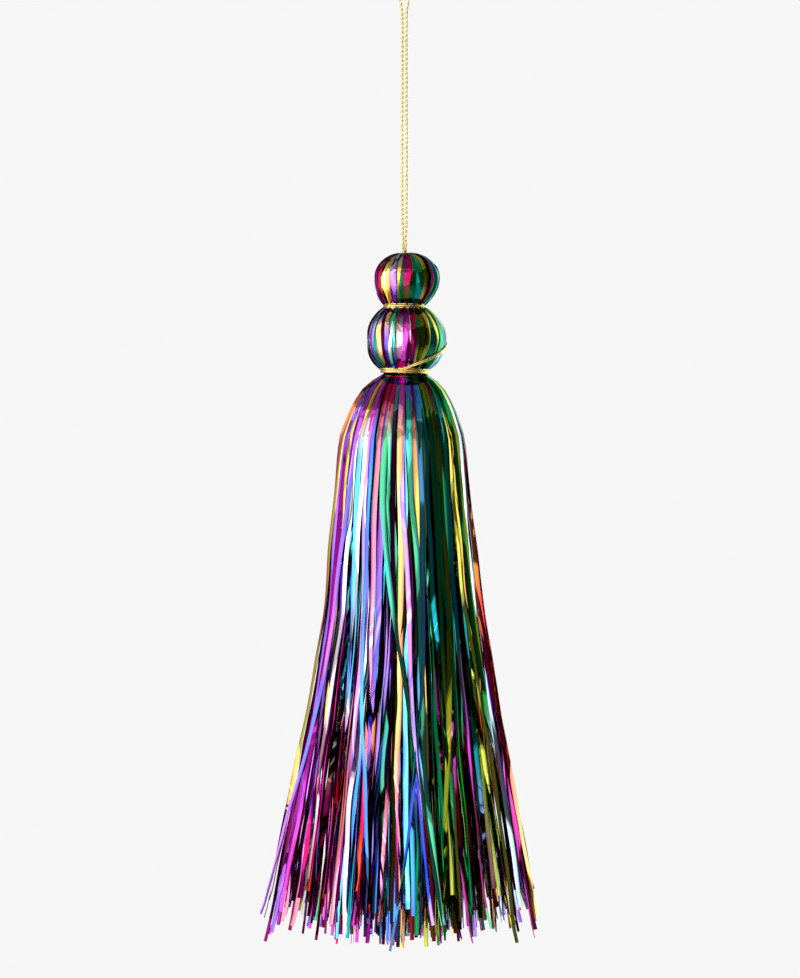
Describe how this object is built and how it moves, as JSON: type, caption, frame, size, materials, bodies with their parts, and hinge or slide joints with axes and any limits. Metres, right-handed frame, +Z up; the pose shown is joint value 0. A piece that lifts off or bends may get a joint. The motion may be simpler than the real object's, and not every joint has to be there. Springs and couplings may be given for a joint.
{
  "type": "tassel ornament",
  "caption": "Hanging foil tassel ornament: two strip-wrapped round bulbs over a bell skirt of loose iridescent foil strips, tied with gold thread, on a gold cord loop.",
  "frame": {"origin": "underside of the loop's bight, where a hook or peg carries it", "axes": "+Z up along the cord, -Y towards the viewer, +X to the viewer's right"},
  "size_m": [0.0796, 0.078, 0.285],
  "materials": {
    "gold_cord": "twisted metallised gold yarn, shiny",
    "gold_thread": "fine metallised gold thread, shiny",
    "upper_bulb_foil": "metallised iridescent film strips, mirror bright, multicoloured",
    "lower_bulb_foil": "metallised iridescent film strips, mirror bright, multicoloured",
    "skirt_foil": "metallised iridescent film strips, mirror bright, multicoloured",
    "bead": "plain moulded bead, hidden by the strips"
  },
  "bodies": {
    "loop": {"hanging_loop": "gold_cord"},
    "shank": {"loop_foot": "gold_cord"},
    "upper_bulb": {"cord_tail_knots": "gold_cord", "upper_core_bead": "bead", "upper_strips_01": "upper_bulb_foil", "upper_strips_02": "upper_bulb_foil", "upper_strips_03": "upper_bulb_foil", "upper_strips_04": "upper_bulb_foil", "upper_strips_05": "upper_bulb_foil", "upper_strips_06": "upper_bulb_foil", "upper_strips_07": "upper_bulb_foil", "upper_strips_08": "upper_bulb_foil", "upper_strips_09": "upper_bulb_foil", "upper_strips_10": "upper_bulb_foil", "upper_strips_11": "upper_bulb_foil", "upper_strips_12": "upper_bulb_foil"},
    "upper_winding": {"upper_tie": "gold_thread"},
    "lower_bulb": {"lower_core_bead": "bead", "tie_thread_run": "gold_thread", "lower_strips_01": "lower_bulb_foil", "lower_strips_02": "lower_bulb_foil", "lower_strips_03": "lower_bulb_foil", "lower_strips_04": "lower_bulb_foil", "lower_strips_05": "lower_bulb_foil", "lower_strips_06": "lower_bulb_foil", "lower_strips_07": "lower_bulb_foil", "lower_strips_08": "lower_bulb_foil", "lower_strips_09": "lower_bulb_foil", "lower_strips_10": "lower_bulb_foil", "lower_strips_11": "lower_bulb_foil", "lower_strips_12": "lower_bulb_foil"},
    "lower_winding": {"lower_tie": "gold_thread"},
    "skirt_core": {"skirt_waist": "skirt_foil", "inner_lock_1": "skirt_foil", "inner_lock_2": "skirt_foil", "inner_lock_3": "skirt_foil", "inner_lock_4": "skirt_foil", "inner_lock_5": "skirt_foil", "inner_lock_6": "skirt_foil"},
    "outer_lock_01": {"outer_lock_01": "skirt_foil"},
    "outer_lock_02": {"outer_lock_02": "skirt_foil"},
    "outer_lock_03": {"outer_lock_03": "skirt_foil"},
    "outer_lock_04": {"outer_lock_04": "skirt_foil"},
    "outer_lock_05": {"outer_lock_05": "skirt_foil"},
    "outer_lock_06": {"outer_lock_06": "skirt_foil"},
    "outer_lock_07": {"outer_lock_07": "skirt_foil"},
    "outer_lock_08": {"outer_lock_08": "skirt_foil"},
    "outer_lock_09": {"outer_lock_09": "skirt_foil"},
    "outer_lock_10": {"outer_lock_10": "skirt_foil"},
    "outer_lock_11": {"outer_lock_11": "skirt_foil"},
    "outer_lock_12": {"outer_lock_12": "skirt_foil"}
  },
  "joints": [
    {"name": "cord_spin", "type": "hinge", "parent": "loop", "child": "shank", "pos_m": [0, 0, -0.0821], "axis": [0, 0, 1], "range_deg": [-180, 180]},
    {"name": "cord_swing", "type": "hinge", "parent": "shank", "child": "upper_bulb", "pos_m": [0, 0, -0.08605], "axis": [0, 1, 0], "range_deg": [-75, 75]},
    {"name": "upper_neck_bend_x", "type": "hinge", "parent": "upper_bulb", "child": "upper_winding", "pos_m": [0, 0, -0.1025], "axis": [1, 0, 0], "range_deg": [-5, 5]},
    {"name": "upper_neck_bend_y", "type": "hinge", "parent": "upper_winding", "child": "lower_bulb", "pos_m": [0, 0, -0.1025], "axis": [0, 1, 0], "range_deg": [-5, 5]},
    {"name": "lower_neck_bend_x", "type": "hinge", "parent": "lower_bulb", "child": "lower_winding", "pos_m": [0, 0, -0.1212], "axis": [1, 0, 0], "range_deg": [-8, 8]},
    {"name": "lower_neck_bend_y", "type": "hinge", "parent": "lower_winding", "child": "skirt_core", "pos_m": [0, 0, -0.1212], "axis": [0, 1, 0], "range_deg": [-8, 8]},
    {"name": "outer_lock_01_flare", "type": "hinge", "parent": "skirt_core", "child": "outer_lock_01", "pos_m": [0.0063, 0, -0.12398], "axis": [0, -1, 0], "range_deg": [0, 35]},
    {"name": "outer_lock_02_flare", "type": "hinge", "parent": "skirt_core", "child": "outer_lock_02", "pos_m": [0.00546, 0.00315, -0.12398], "axis": [0.5, -0.866, 0], "range_deg": [0, 35]},
    {"name": "outer_lock_03_flare", "type": "hinge", "parent": "skirt_core", "child": "outer_lock_03", "pos_m": [0.00315, 0.00546, -0.12398], "axis": [0.866, -0.5, 0], "range_deg": [0, 35]},
    {"name": "outer_lock_04_flare", "type": "hinge", "parent": "skirt_core", "child": "outer_lock_04", "pos_m": [0, 0.0063, -0.12398], "axis": [1, 0, 0], "range_deg": [0, 35]},
    {"name": "outer_lock_05_flare", "type": "hinge", "parent": "skirt_core", "child": "outer_lock_05", "pos_m": [-0.00315, 0.00546, -0.12398], "axis": [0.866, 0.5, 0], "range_deg": [0, 35]},
    {"name": "outer_lock_06_flare", "type": "hinge", "parent": "skirt_core", "child": "outer_lock_06", "pos_m": [-0.00546, 0.00315, -0.12398], "axis": [0.5, 0.866, 0], "range_deg": [0, 35]},
    {"name": "outer_lock_07_flare", "type": "hinge", "parent": "skirt_core", "child": "outer_lock_07", "pos_m": [-0.0063, 0, -0.12398], "axis": [0, 1, 0], "range_deg": [0, 35]},
    {"name": "outer_lock_08_flare", "type": "hinge", "parent": "skirt_core", "child": "outer_lock_08", "pos_m": [-0.00546, -0.00315, -0.12398], "axis": [-0.5, 0.866, 0], "range_deg": [0, 35]},
    {"name": "outer_lock_09_flare", "type": "hinge", "parent": "skirt_core", "child": "outer_lock_09", "pos_m": [-0.00315, -0.00546, -0.12398], "axis": [-0.866, 0.5, 0], "range_deg": [0, 35]},
    {"name": "outer_lock_10_flare", "type": "hinge", "parent": "skirt_core", "child": "outer_lock_10", "pos_m": [0, -0.0063, -0.12398], "axis": [-1, 0, 0], "range_deg": [0, 35]},
    {"name": "outer_lock_11_flare", "type": "hinge", "parent": "skirt_core", "child": "outer_lock_11", "pos_m": [0.00315, -0.00546, -0.12398], "axis": [-0.866, -0.5, 0], "range_deg": [0, 35]},
    {"name": "outer_lock_12_flare", "type": "hinge", "parent": "skirt_core", "child": "outer_lock_12", "pos_m": [0.00546, -0.00315, -0.12398], "axis": [-0.5, -0.866, 0], "range_deg": [0, 35]}
  ]
}
